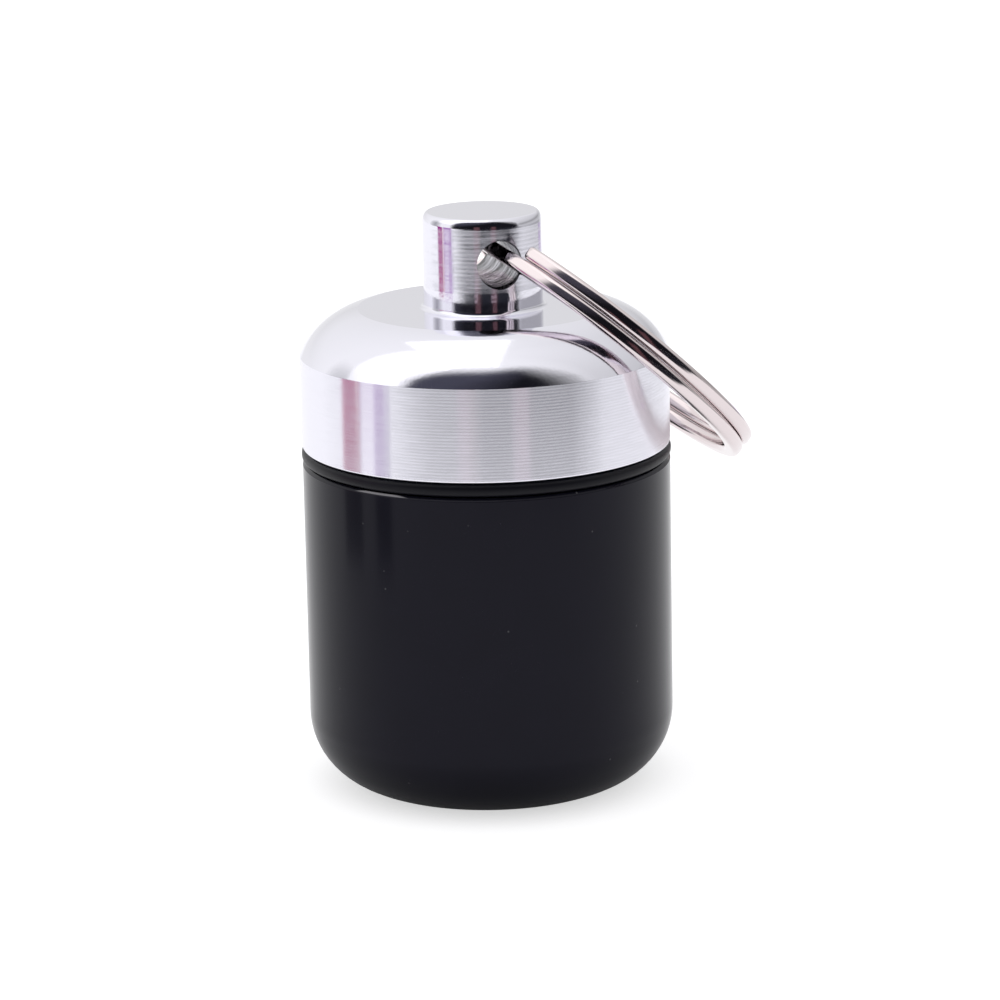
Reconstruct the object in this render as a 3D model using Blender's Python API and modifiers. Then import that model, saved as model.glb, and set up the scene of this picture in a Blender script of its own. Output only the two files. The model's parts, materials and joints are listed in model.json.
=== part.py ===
"""Screw-cap key-ring canister: a turned can, its seal, a turned cap with a knob, and a split ring.

Metres, +Z up. The origin is the centre of the base. The hole through the knob runs along Y,
and the split ring hangs from it towards +X and leans on the cap's dome.
"""
import math

import bpy
import numpy as np

PART_COLLECTION = "keyring_canister"
GUIDE_COLLECTION = "keyring_canister_guides"

# Can: a thick-walled cup with a rounded foot and a plain neck for the cap
BODY_DIAMETER = 0.0300
BODY_HEIGHT = 0.0272
FOOT_CORNER_WIDTH = 0.0060
FOOT_CORNER_HEIGHT = 0.0061
SHOULDER_CHAMFER = 0.00025
SHOULDER_WIDTH = 0.0016
NECK_HEIGHT = 0.0070
NECK_CHAMFER = 0.0003
NECK_ROOT_FILLET = 0.00025
NECK_WALL = 0.0014
FLOOR_THICKNESS = 0.0020
FLOOR_CORNER = 0.0035

# Seal: a rubber ring squeezed between the can's shoulder and the cap's rim
SEAL_HEIGHT = 0.0011
SEAL_BULGE = 0.00006
SEAL_CLEARANCE = 0.00005
SEAL_SQUARENESS = 2.6

# Cap: skirt, creased dome, flat top and knob, turned in one piece
CAP_HEIGHT = 0.01125
SKIRT_HEIGHT = 0.00758
DOME_RADIUS = 0.0061
RIM_CHAMFER = 0.00025
CROWN_THICKNESS = 0.0017
CROWN_CORNER = 0.0030
THREAD_CLEARANCE = 0.0002
LEAD_IN = 0.0004
KNOB_DIAMETER = 0.00966
KNOB_HEIGHT = 0.0078
KNOB_FILLET = 0.0005
KNOB_ROOT_FILLET = 0.00025
HOLE_HEIGHT = 0.00415
HOLE_CLEARANCE = 0.00018
HOLE_COUNTERSINK = 0.00015
HOLE_COUNTERSINK_DEPTH = 0.0005
CUT_OVERRUN = 0.0010

# Split ring: one flattened wire wound twice, with a joggle where it drops a layer
RING_DIAMETER = 0.02875
WIRE_WIDTH = 0.0014
WIRE_THICKNESS = 0.0010
WIRE_CORNER = 0.00035
WIRE_GAP = 0.00042
WIRE_START = math.radians(28.0)
JOGGLE_LEAD = math.radians(48.0)
JOGGLE_LAG = math.radians(20.0)
WIRE_END_LEAD = math.radians(51.0)
RING_OFFSET = 0.00123
RING_SLACK = 0.00054
RING_SHIFT = 0.00035
RING_LEAN = math.radians(-2.8)
RING_REST_GAP = 0.00005

# Facets
TURN_STEPS = 64
ARC_STEPS = 6
HOLE_STEPS = 40
SEAL_POINTS = 16
WIRE_CORNER_STEPS = 3
WIRE_STEP = math.radians(5.0)
SHARP_ANGLE = math.radians(32.0)
MERGE_DISTANCE = 0.000001
TILT_SEARCH_ROUNDS = 30

# Sizes that follow from the ones above
BODY_RADIUS = BODY_DIAMETER / 2
NECK_RADIUS = BODY_RADIUS - SHOULDER_WIDTH
JAR_BORE_RADIUS = NECK_RADIUS - NECK_WALL
NECK_TOP = BODY_HEIGHT + NECK_HEIGHT
RIM_LEVEL = BODY_HEIGHT + SEAL_HEIGHT + 2 * SEAL_CLEARANCE
CREASE_LEVEL = RIM_LEVEL + SKIRT_HEIGHT
CROWN_LEVEL = RIM_LEVEL + CAP_HEIGHT
DOME_CENTRE_LEVEL = CROWN_LEVEL - DOME_RADIUS
DOME_START_ANGLE = math.asin((CREASE_LEVEL - DOME_CENTRE_LEVEL) / DOME_RADIUS)
DOME_CENTRE_RADIUS = BODY_RADIUS - DOME_RADIUS * math.cos(DOME_START_ANGLE)
KNOB_RADIUS = KNOB_DIAMETER / 2
HOLE_LEVEL = CROWN_LEVEL + HOLE_HEIGHT
RING_MEAN_RADIUS = (RING_DIAMETER - WIRE_WIDTH) / 2
LAYER_LEVEL = (WIRE_THICKNESS + WIRE_GAP) / 2
FULL_TURN = 2 * math.pi


def new_collection(name):
    collection = bpy.data.collections.new(name)
    bpy.context.scene.collection.children.link(collection)
    return collection


def add_object(name, data, collection, parent=None, location=(0, 0, 0), rotation=(0, 0, 0)):
    obj = bpy.data.objects.new(name, data)
    collection.objects.link(obj)
    obj.parent = parent
    obj.location = location
    obj.rotation_euler = rotation
    return obj


def make_material(name, colour, roughness, metallic):
    material = bpy.data.materials.new(name)
    material.use_nodes = True
    shader = material.node_tree.nodes["Principled BSDF"]
    shader.inputs["Base Color"].default_value = (*colour, 1)
    shader.inputs["Roughness"].default_value = roughness
    shader.inputs["Metallic"].default_value = metallic
    material.diffuse_color = (*colour, 1)
    return material


def arc(centre, radii, start_degrees, end_degrees, steps=ARC_STEPS):
    """Points on an elliptical arc in a profile's (radius, level) plane."""
    angles = np.radians(np.linspace(start_degrees, end_degrees, steps + 1))
    return [(centre[0] + radii[0] * math.cos(a), centre[1] + radii[1] * math.sin(a)) for a in angles]


def turned_mesh(name, profile, steps=TURN_STEPS, closed=False):
    """Spin a profile, given from the top down its outer side, about Z into a closed mesh."""
    edges = [(i, i + 1) for i in range(len(profile) - 1)]
    if closed:
        edges.append((len(profile) - 1, 0))
    outline = bpy.data.meshes.new(name + "_profile")
    outline.from_pydata([(radius, 0, level) for radius, level in profile], edges, [])
    spun = add_object(name + "_profile", outline, bpy.context.scene.collection)
    screw = spun.modifiers.new("Turn", "SCREW")
    screw.axis = "Z"
    screw.steps = steps
    screw.render_steps = steps
    screw.use_merge_vertices = True
    screw.merge_threshold = MERGE_DISTANCE
    graph = bpy.context.evaluated_depsgraph_get()
    mesh = bpy.data.meshes.new_from_object(spun.evaluated_get(graph))
    mesh.name = name
    bpy.data.objects.remove(spun)
    bpy.data.meshes.remove(outline)
    mesh.shade_smooth()
    mesh.set_sharp_from_angle(angle=SHARP_ANGLE)
    return mesh


def make_jar_body(collection):
    """Cup with a straight bore, a rounded foot and a neck above a chamfered shoulder."""
    floor_corner = (JAR_BORE_RADIUS - FLOOR_CORNER, FLOOR_THICKNESS + FLOOR_CORNER)
    root = (NECK_RADIUS + NECK_ROOT_FILLET, BODY_HEIGHT + NECK_ROOT_FILLET)
    foot_corner = (BODY_RADIUS - FOOT_CORNER_WIDTH, FOOT_CORNER_HEIGHT)
    profile = [(0, FLOOR_THICKNESS)]
    profile += arc(floor_corner, (FLOOR_CORNER, FLOOR_CORNER), -90, 0)
    profile += [
        (JAR_BORE_RADIUS, NECK_TOP - NECK_CHAMFER),
        (JAR_BORE_RADIUS + NECK_CHAMFER, NECK_TOP),
        (NECK_RADIUS - NECK_CHAMFER, NECK_TOP),
        (NECK_RADIUS, NECK_TOP - NECK_CHAMFER),
    ]
    profile += arc(root, (NECK_ROOT_FILLET, NECK_ROOT_FILLET), 180, 270, ARC_STEPS // 2)
    profile += [
        (BODY_RADIUS - SHOULDER_CHAMFER, BODY_HEIGHT),
        (BODY_RADIUS, BODY_HEIGHT - SHOULDER_CHAMFER),
    ]
    profile += arc(foot_corner, (FOOT_CORNER_WIDTH, FOOT_CORNER_HEIGHT), 0, -90, 2 * ARC_STEPS)
    profile.append((0, 0))
    jar = add_object("jar_body", turned_mesh("jar_body", profile), collection)
    jar.data.materials.append(make_material("black_anodised_aluminium", (0.012, 0.013, 0.017), 0.22, 0.6))
    return jar


def make_seal_ring(collection, jar):
    """Round cord squeezed until its outside stands a little proud of the can."""
    middle = BODY_HEIGHT + SEAL_CLEARANCE + SEAL_HEIGHT / 2
    inner = NECK_RADIUS + NECK_ROOT_FILLET + SEAL_CLEARANCE
    outer = BODY_RADIUS + SEAL_BULGE
    half_width = (outer - inner) / 2
    power = 2 / SEAL_SQUARENESS
    profile = []
    for index in range(SEAL_POINTS):
        angle = -FULL_TURN * index / SEAL_POINTS
        across = math.copysign(abs(math.cos(angle)) ** power, math.cos(angle))
        up = math.copysign(abs(math.sin(angle)) ** power, math.sin(angle))
        profile.append((inner + half_width * (1 + across), up * SEAL_HEIGHT / 2))
    mesh = turned_mesh("seal_ring", profile, closed=True)
    seal = add_object("seal_ring", mesh, collection, jar, (0, 0, middle))
    seal.data.materials.append(make_material("black_rubber", (0.022, 0.022, 0.024), 0.45, 0))
    return seal


def cap_profile():
    """Outline of the cap from the knob's top, down the outside and up into the bore."""
    bore = NECK_RADIUS + THREAD_CLEARANCE
    ceiling = CROWN_LEVEL - CROWN_THICKNESS
    knob_top = CROWN_LEVEL + KNOB_HEIGHT
    dome_start = math.degrees(DOME_START_ANGLE)
    knob_corner = (KNOB_RADIUS - KNOB_FILLET, knob_top - KNOB_FILLET)
    knob_root = (KNOB_RADIUS + KNOB_ROOT_FILLET, CROWN_LEVEL + KNOB_ROOT_FILLET)
    dome_centre = (DOME_CENTRE_RADIUS, DOME_CENTRE_LEVEL)
    inner_corner = (bore - CROWN_CORNER, ceiling - CROWN_CORNER)
    profile = [(0, knob_top)]
    profile += arc(knob_corner, (KNOB_FILLET, KNOB_FILLET), 90, 0, ARC_STEPS - 1)
    profile += arc(knob_root, (KNOB_ROOT_FILLET, KNOB_ROOT_FILLET), 180, 270, ARC_STEPS // 2)
    profile += arc(dome_centre, (DOME_RADIUS, DOME_RADIUS), 90, dome_start, 2 * ARC_STEPS)
    profile += [
        (BODY_RADIUS, RIM_LEVEL + RIM_CHAMFER),
        (BODY_RADIUS - RIM_CHAMFER, RIM_LEVEL),
        (bore + LEAD_IN, RIM_LEVEL),
        (bore, RIM_LEVEL + LEAD_IN),
    ]
    profile += arc(inner_corner, (CROWN_CORNER, CROWN_CORNER), 0, 90)
    profile.append((0, ceiling))
    return profile


def make_hole_cutter(guides, cap, hole_radius):
    """Bar that is turned with a flare at each end, laid along Y through the knob."""
    growth = HOLE_COUNTERSINK / HOLE_COUNTERSINK_DEPTH
    half_length = KNOB_RADIUS + CUT_OVERRUN
    straight = KNOB_RADIUS - HOLE_COUNTERSINK_DEPTH
    mouth_radius = hole_radius + (half_length - straight) * growth
    profile = [
        (0, half_length),
        (mouth_radius, half_length),
        (hole_radius, straight),
        (hole_radius, -straight),
        (mouth_radius, -half_length),
        (0, -half_length),
    ]
    mesh = turned_mesh("hole_cutter", profile, HOLE_STEPS)
    place = (0, 0, HOLE_LEVEL - RIM_LEVEL)
    cutter = add_object("hole_cutter", mesh, guides, cap, place, (math.radians(90), 0, 0))
    cutter.display_type = "WIRE"
    cutter.hide_render = True
    return cutter


def make_cap(collection, guides, seal, hole_radius):
    """One-piece cap, with its origin on the screw's axis at the rim."""
    profile = [(radius, level - RIM_LEVEL) for radius, level in cap_profile()]
    place = (0, 0, RIM_LEVEL - seal.location.z)
    cap = add_object("cap", turned_mesh("cap", profile), collection, seal, place)
    cap.data.materials.append(make_material("turned_aluminium", (0.80, 0.80, 0.83), 0.16, 1))
    cut = cap.modifiers.new("Cross hole", "BOOLEAN")
    cut.operation = "DIFFERENCE"
    cut.solver = "EXACT"
    cut.object = make_hole_cutter(guides, cap, hole_radius)
    return cap


def wire_section():
    """Rounded-rectangle outline of the wire, as (across, up) pairs."""
    across = WIRE_WIDTH / 2 - WIRE_CORNER
    up = WIRE_THICKNESS / 2 - WIRE_CORNER
    signs = ((1, 1), (-1, 1), (-1, -1), (1, -1))
    outline = []
    for quarter, (side, rise) in enumerate(signs):
        start = 90 * quarter
        corner = (side * across, rise * up)
        outline += arc(corner, (WIRE_CORNER, WIRE_CORNER), start, start + 90, WIRE_CORNER_STEPS)
    return np.array(outline)


def wire_turns():
    """Angles of the wire's stations, counted from the hole through two windings."""
    end = 2 * FULL_TURN - WIRE_END_LEAD
    count = round((end - WIRE_START) / WIRE_STEP)
    return WIRE_START + WIRE_STEP * np.arange(count + 1)


def wire_levels(turns):
    """Upper layer for the first winding, lower for the second, with an eased drop between."""
    start = FULL_TURN - JOGGLE_LEAD
    share = np.clip((turns - start) / (JOGGLE_LEAD + JOGGLE_LAG), 0, 1)
    eased = share * share * (3 - 2 * share)
    return LAYER_LEVEL * (1 - 2 * eased)


def wire_path():
    """Centreline in the ring's own frame: the hole's axis is Y, and +X leads to the ring's centre."""
    turns = wire_turns()
    centre_x = RING_MEAN_RADIUS - RING_SLACK
    x = centre_x - RING_MEAN_RADIUS * np.cos(turns)
    y = RING_SHIFT - RING_MEAN_RADIUS * np.sin(turns)
    z = RING_OFFSET + wire_levels(turns)
    return np.stack((x, y, z), axis=1)


def wire_surface():
    """Points of the wire's surface, one outline for each station of its centreline."""
    turns = wire_turns()
    outward = np.stack((-np.cos(turns), -np.sin(turns), np.zeros_like(turns)), axis=1)
    upward = np.array((0, 0, 1))
    section = wire_section()
    across = section[None, :, :1] * outward[:, None, :]
    up = section[None, :, 1:] * upward
    return wire_path()[:, None, :] + across + up


def lean_over(points, tilt):
    """Turn points of the ring's frame by its lean about X and then its tilt about Y."""
    cos_lean, sin_lean = math.cos(RING_LEAN), math.sin(RING_LEAN)
    cos_tilt, sin_tilt = math.cos(tilt), math.sin(tilt)
    x, y, z = np.moveaxis(points, -1, 0)
    leaned_y = y * cos_lean - z * sin_lean
    leaned_z = y * sin_lean + z * cos_lean
    return np.stack((x * cos_tilt + leaned_z * sin_tilt, leaned_y, leaned_z * cos_tilt - x * sin_tilt), axis=-1)


def hole_radius_for_wire():
    """The wire's furthest reach from the hole's axis inside the knob, and the clearance round it."""
    points = lean_over(wire_surface(), 0)
    inside = np.abs(points[..., 1]) < KNOB_RADIUS
    reach = np.hypot(points[..., 0], points[..., 2])
    near = inside & (points[..., 0] < RING_MEAN_RADIUS)
    return float(reach[near].max()) + HOLE_CLEARANCE


def gap_to_dome(tilt):
    """Least gap between the tilted ring and the cap below the knob."""
    points = lean_over(wire_surface(), tilt)
    radius = np.hypot(points[..., 0], points[..., 1])
    level = points[..., 2] + HOLE_LEVEL
    beside = radius - BODY_RADIUS
    above = level - CROWN_LEVEL
    round_edge = np.hypot(radius - DOME_CENTRE_RADIUS, level - DOME_CENTRE_LEVEL) - DOME_RADIUS
    gap = np.where(level < CREASE_LEVEL, beside, round_edge)
    gap = np.where(radius < DOME_CENTRE_RADIUS, above, gap)
    return float(gap.min())


def resting_tilt():
    """Tilt at which the ring, let down from level, comes to lie on the dome."""
    free, touching = 0.0, math.radians(85)
    for _ in range(TILT_SEARCH_ROUNDS):
        middle = (free + touching) / 2
        if gap_to_dome(middle) > RING_REST_GAP:
            free = middle
        else:
            touching = middle
    return free


def wire_gap_to_itself():
    """Least distance between the two windings, measured on the surface's points."""
    surface = wire_surface()
    per_turn = round(FULL_TURN / WIRE_STEP)
    least = math.inf
    for index in range(len(surface) - per_turn):
        first = max(0, index + per_turn - 1)
        rows = surface[first:index + per_turn + 2].reshape(-1, 3)
        distance = np.linalg.norm(surface[index][:, None, :] - rows[None, :, :], axis=2)
        least = min(least, float(distance.min()))
    return least


def make_wire_profile(guides):
    """Flat closed curve of the wire's section, which the ring's curve is bevelled with."""
    data = bpy.data.curves.new("wire_profile", "CURVE")
    data.dimensions = "2D"
    data.fill_mode = "NONE"
    section = wire_section()[::-1]
    spline = data.splines.new("POLY")
    spline.points.add(len(section) - 1)
    for point, (across, up) in zip(spline.points, section):
        point.co = (across, up, 0, 1)
    spline.use_cyclic_u = True
    profile = add_object("wire_profile", data, guides)
    profile.display_type = "WIRE"
    profile.hide_render = True
    return profile


def make_split_ring(collection, guides, cap):
    """Two windings of one wire, swept along its centreline and swung down on the dome."""
    data = bpy.data.curves.new("split_ring", "CURVE")
    data.dimensions = "3D"
    data.twist_mode = "Z_UP"
    data.bevel_mode = "OBJECT"
    data.bevel_object = make_wire_profile(guides)
    data.use_fill_caps = True
    path = wire_path()
    spline = data.splines.new("POLY")
    spline.points.add(len(path) - 1)
    for point, place in zip(spline.points, path):
        point.co = (*place, 1)
    spline.use_smooth = True
    place = (0, 0, HOLE_LEVEL - RIM_LEVEL)
    ring = add_object("split_ring", data, collection, cap, place, (RING_LEAN, resting_tilt(), 0))
    data.materials.append(make_material("nickel_plated_steel", (0.72, 0.69, 0.68), 0.12, 1))
    return ring


def main():
    for obj in list(bpy.data.objects):
        bpy.data.objects.remove(obj, do_unlink=True)
    parts = new_collection(PART_COLLECTION)
    guides = new_collection(GUIDE_COLLECTION)
    jar = make_jar_body(parts)
    seal = make_seal_ring(parts, jar)
    hole_radius = hole_radius_for_wire()
    cap = make_cap(parts, guides, seal, hole_radius)
    make_split_ring(parts, guides, cap)
    millimetre = 0.001
    print("hole radius %.3f mm" % (hole_radius / millimetre))
    print("ring tilt at rest %.2f degrees" % math.degrees(resting_tilt()))
    print("split ring's least gap to itself %.3f mm" % (wire_gap_to_itself() / millimetre))


main()
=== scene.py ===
"""Key-ring canister: can, seal, cap and split ring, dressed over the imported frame, in a small studio.

Metres, +Z up. The origin is the centre of the base, the hole through the knob runs along Y, and
the split ring hangs towards +X. Each operator makes one piece or one group; main() runs them all.
"""

import json
import math

import bmesh
import bpy
from mathutils import Euler, Matrix, Vector


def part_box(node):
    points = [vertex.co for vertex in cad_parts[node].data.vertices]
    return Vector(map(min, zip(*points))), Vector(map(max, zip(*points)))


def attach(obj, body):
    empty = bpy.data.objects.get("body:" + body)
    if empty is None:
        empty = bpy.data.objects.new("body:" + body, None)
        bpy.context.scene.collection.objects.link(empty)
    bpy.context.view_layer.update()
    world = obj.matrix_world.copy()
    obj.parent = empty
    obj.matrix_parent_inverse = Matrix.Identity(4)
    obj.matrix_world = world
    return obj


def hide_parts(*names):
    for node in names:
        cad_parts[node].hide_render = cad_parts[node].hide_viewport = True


bl_info = {
    "name": "Key-ring canister",
    "version": (1, 0, 0),
    "blender": (4, 5, 0),
    "location": "View3D > Sidebar > Canister",
    "description": "Makes a screw-cap key-ring canister and a small photo studio around it",
    "category": "Add Mesh",
}

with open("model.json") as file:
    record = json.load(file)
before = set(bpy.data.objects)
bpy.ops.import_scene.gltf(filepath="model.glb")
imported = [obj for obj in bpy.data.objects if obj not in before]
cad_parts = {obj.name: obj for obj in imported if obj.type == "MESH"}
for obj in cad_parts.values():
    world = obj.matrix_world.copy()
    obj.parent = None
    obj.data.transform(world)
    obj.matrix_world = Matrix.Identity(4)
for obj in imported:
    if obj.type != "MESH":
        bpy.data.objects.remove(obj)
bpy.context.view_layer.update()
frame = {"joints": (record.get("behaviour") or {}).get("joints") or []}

MM = 0.001
FULL_TURN = 2 * math.pi
ORIGIN = (0, 0, 0)

# Levels and radii that the frame gives
CAN_LOW, CAN_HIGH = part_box("jar_body")
SEAL_LOW, SEAL_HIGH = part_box("seal_ring")
CAP_LOW, CAP_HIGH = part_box("cap")
JOINT_PLACE = {joint["name"]: Vector(joint.get("pos_m", ORIGIN)) for joint in frame["joints"]}
CAN_RADIUS = CAN_HIGH.x
NECK_TOP = CAN_HIGH.z
CAP_RADIUS = CAP_HIGH.x
RIM_LEVEL = CAP_LOW.z
KNOB_TOP = CAP_HIGH.z
HOLE_CENTRE = JOINT_PLACE["ring_swing"]

# Can
SHOULDER_LEVEL = JOINT_PLACE["cap_turn"].z
FOOT_CORNER = (6.0 * MM, 6.1 * MM)
SHOULDER_CHAMFER = 0.25 * MM
SHOULDER_BREAK = 0.04 * MM
NECK_CREST_RADIUS = 13.4 * MM
NECK_ROOT_RADIUS = 12.85 * MM
NECK_ROOT_FILLET = 0.15 * MM
NECK_CHAMFER = (0.1 * MM, 0.45 * MM)
NECK_LIP_BREAK = 0.08 * MM
BORE_RADIUS = 12.0 * MM
BORE_CHAMFER = 0.3 * MM
FLOOR_LEVEL = 2.0 * MM
FLOOR_CORNER = 3.5 * MM
EDGE_BREAK = 0.05 * MM

# Rubbed patch on the shoulder's chamfer, bare metal with a painted highlight: where it is, its half width
# in degrees outside and inside its soft ends, its depth, and how far below the shoulder its lower and upper
# edges start and end to fade in
WORN_HIGHLIGHT_PLACE = math.radians(-52.2)
WORN_HIGHLIGHT_HALF_WIDTHS = (9.5, 7.5)
WORN_HIGHLIGHT_INSET = 0.12 * MM
WORN_HIGHLIGHT_LOWER_EDGE = (0.19 * MM, 0.14 * MM)
WORN_HIGHLIGHT_UPPER_EDGE = (0.02 * MM, 0.06 * MM)

# Seal
SEAL_CLEARANCE = 0.3 * MM
SEAL_STEPS = 48

# Cap
CREASE_LEVEL = RIM_LEVEL + 7.58 * MM
CREASE_BREAK = 0.03 * MM
CROWN_LEVEL = RIM_LEVEL + 11.25 * MM
CROWN_RADIUS = 10.2 * MM
CROWN_EDGE_SLOPE = math.radians(10.0)
RIM_FILLET = 0.2 * MM
CAP_BORE_RADIUS = 13.6 * MM
CAP_ROOF_LEVEL = CROWN_LEVEL - 1.7 * MM
CAP_ROOF_CORNER = 3.0 * MM
LEAD_IN = 0.4 * MM
KNOB_RADIUS = 4.83 * MM
KNOB_EDGE = (0.45 * MM, 0.8 * MM)
KNOB_ROOT_FILLET = 0.4 * MM
KNOB_FOOT = 1.85 * MM
HOLE_RADIUS = 1.847 * MM
HOLE_FLARE = 0.15 * MM
HOLE_FLARE_DEPTH = 0.5 * MM
HOLE_FLARE_FILLET = 0.4 * MM
HOLE_STEPS = 96
CUT_OVERRUN = 1.0 * MM

# Finishes of the cap, and how near to the hole, past the knob and within its side their faces lie
POLISHED, TURNED_SKIRT, TURNED_KNOB, DRILLED = range(4)
HOLE_MARGIN = 0.5 * MM
HOLE_WALL_TILT = 0.5
SKIRT_MARGIN = 1.0 * MM
SKIRT_TILT = 0.2
KNOB_MARGIN = 0.1 * MM

# Thread, as one raised ridge on the neck and one in the cap, half a pitch apart
PITCH = 1.5 * MM
NECK_THREAD_TURNS = 3.3
CAP_THREAD_TURNS = 3.2
CAP_THREAD_CREST = 13.08 * MM
CAP_THREAD_LIFT = 0.35 * MM
THREAD_START = math.radians(200)
RIDGE_ROOT_WIDTH = 1.0 * MM
RIDGE_CREST_WIDTH = 0.34 * MM
RIDGE_SINK = 0.08 * MM
RIDGE_RUNOUT_TURNS = 0.16
RIDGE_END_HEIGHT = 0.02
RIDGE_STEPS = 90

# Split ring
WIRE_STEP = math.radians(2.0)
WIRE_START = math.radians(28.0)
WIRE_END = 2 * FULL_TURN - math.radians(51.0)
WIRE_CORNER = 0.42 * MM
WIRE_CORNER_STEPS = 7
WIRE_BURR = 0.06 * MM
JOGGLE_START = FULL_TURN - math.radians(48.0)
JOGGLE_LENGTH = math.radians(68.0)
RING_RADIUS = 28.75 / 2 * MM
RING_OFFSET = 1.23 * MM
RING_SLACK = 0.54 * MM
RING_SHIFT = 0.35 * MM
RING_LEAN = math.radians(-2.8)
RING_TILT = math.radians(42.25)

# Facets
TURN_STEPS = 256
OUTLINE_STEP = math.radians(5.0)
FILLET_STEP = math.radians(12.0)
SUPPORT_GAP = 0.02 * MM
SHARP_ANGLE = math.radians(28.0)
WELD = 0.00005 * MM

# Camera, as the photograph was taken
CAMERA_TURN = math.radians(-17.6)
CAMERA_PITCH = math.radians(13.923)
CAMERA_ROLL = math.radians(-1.1136)
CAMERA_PLACE = Vector((1.0287, -339.19, 79.074)) * MM
CAMERA_LENS = 153.63
SENSOR_WIDTH = 36.0

# Bearings round the table are in degrees from the camera's side, plus to its right, counted up from here
FIRST_BEARING = -118

# Dark screen behind the camera, a squarish oval in degrees: its middle, its reach to the left, to the
# right and up, its tip towards the upper right, and where in the oval it starts and ends to fade
SCREEN_MIDDLE = 5
SCREEN_LEFT = 66
SCREEN_RIGHT = 70
SCREEN_TOP = 64.5
SCREEN_TIP = 0.04
SCREEN_SQUARENESS = 4
SCREEN_FADE = (0.62, 1.35)

# Stage
STAGE_STEPS = 96
CARD_STEPS = 16
ROOM_RADIUS = 0.9
SHADE_SHEET_RADIUS = 0.88
# Sheet of painted shade on the floor, seen only in reflections
SHADE_SHEET_LIFT = 0.2 * MM
SHADE_SHEET_EDGE = (130 * MM, 155 * MM)
SHADE_SHEET_EDGE_SHIFT = 80 * MM
FLOOR_RADIUS = 2.0
FLOOR_DROP = 0.01 * MM
# Reach over which the reflected white fades in, leaving a painted shadow round the foot
FLOOR_SHADOW_FADE = (14 * MM, 23 * MM)
FLOOR_SEEN_GLOW = 0.60
FLOOR_REFLECTED_GLOW = 0.42

# Reflected cards: their reach, and what the can sees of them, then the skirt and, highest, the knob
STRIP_REACH = 0.09
SHEER_REACH = 0.12
POST_REACH = 0.5
CAN_SEES = (0, 0.0115)
SKIRT_SEES = (0.0115, 0.0225)
KNOB_SEES = (0.0248, 0.045)
CARD_COLOURS = {
    "pink": "#b8084c", "magenta": "#9c2f88", "lilac": "#bca4d0", "purple": "#b38bc2", "dim": "#acacb4",
    "rose": "#61454a",
}


def linear(hex_colour):
    """An sRGB hex colour as linear red, green and blue."""
    parts = [int(hex_colour[i:i + 2], 16) / 255 for i in (1, 3, 5)]
    return tuple(c / 12.92 if c <= 0.04045 else ((c + 0.055) / 1.055) ** 2.4 for c in parts)


class CanisterSizes(bpy.types.PropertyGroup):
    """Sizes that the frame leaves open."""

    wire_width: bpy.props.FloatProperty(
        name="Wire width", description="Width of the split ring's wire, across the ring",
        default=1.42 * MM, unit="LENGTH")
    wire_thickness: bpy.props.FloatProperty(
        name="Wire thickness", description="Thickness of one winding of the split ring",
        default=1.16 * MM, unit="LENGTH")
    winding_gap: bpy.props.FloatProperty(
        name="Winding gap", description="Air between the two windings",
        default=0.05 * MM, unit="LENGTH")
    seal_squareness: bpy.props.FloatProperty(
        name="Seal squareness", description="2 is a round cord, more is squeezed flatter",
        default=2.6)


class CanisterColours(bpy.types.PropertyGroup):
    """Colours of the finishes."""

    anodising: bpy.props.FloatVectorProperty(
        name="Anodising", description="Black dyed oxide on the can",
        default=linear("#0a0a12"), subtype="COLOR")
    aluminium: bpy.props.FloatVectorProperty(
        name="Aluminium", description="Bare turned aluminium of the cap",
        default=linear("#f0eff8"), subtype="COLOR")
    rubber: bpy.props.FloatVectorProperty(
        name="Rubber", description="Seal between the can and the cap",
        default=linear("#0e0e15"), subtype="COLOR")
    nickel: bpy.props.FloatVectorProperty(
        name="Nickel", description="Plating of the split ring",
        default=linear("#e4d9da"), subtype="COLOR")


class CanisterStudio(bpy.types.PropertyGroup):
    """Floor and light."""

    floor: bpy.props.FloatVectorProperty(
        name="Floor", description="Colour of the floor", default=linear("#cbcbcd"), subtype="COLOR")
    ambient: bpy.props.FloatProperty(
        name="Ambient", description="Strength of the even light from all round", default=1.0)
    overhead: bpy.props.FloatProperty(
        name="Overhead", description="Power of the softbox above", default=0.1325, unit="POWER")
    side: bpy.props.FloatProperty(
        name="Side", description="Power of the softbox on the left", default=0.146, unit="POWER")


def set_inputs(tree, node, inputs=None, links=None):
    """Set a node's inputs by name or number, and link sockets into them."""
    for key, value in (inputs or {}).items():
        node.inputs[key].default_value = value
    for key, socket in (links or {}).items():
        tree.links.new(socket, node.inputs[key])


def add_node(tree, kind, inputs=None, links=None, stops=(), **settings):
    """Add a node with its settings, its inputs and links, and a ramp's (position, colour) stops."""
    node = tree.nodes.new(kind)
    for name, value in settings.items():
        setattr(node, name, value)
    for index, (position, colour) in enumerate(stops):
        elements = node.color_ramp.elements
        stop = elements[index] if index < 2 else elements.new(position)
        stop.position = position
        stop.color = colour
    set_inputs(tree, node, inputs, links)
    return node


def new_material(name):
    """Material with its node tree and its shader."""
    material = bpy.data.materials.new(name)
    material.use_nodes = True
    return material, material.node_tree, material.node_tree.nodes["Principled BSDF"]


def arc(centre, radii, start_degrees, end_degrees):
    """Points of an elliptical arc in a profile's (radius, level) plane."""
    start, end = math.radians(start_degrees), math.radians(end_degrees)
    steps = max(2, math.ceil(abs(end - start) / OUTLINE_STEP))
    angles = [start + (end - start) * i / steps for i in range(steps + 1)]
    return [(centre[0] + radii[0] * math.cos(a), centre[1] + radii[1] * math.sin(a)) for a in angles]


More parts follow.
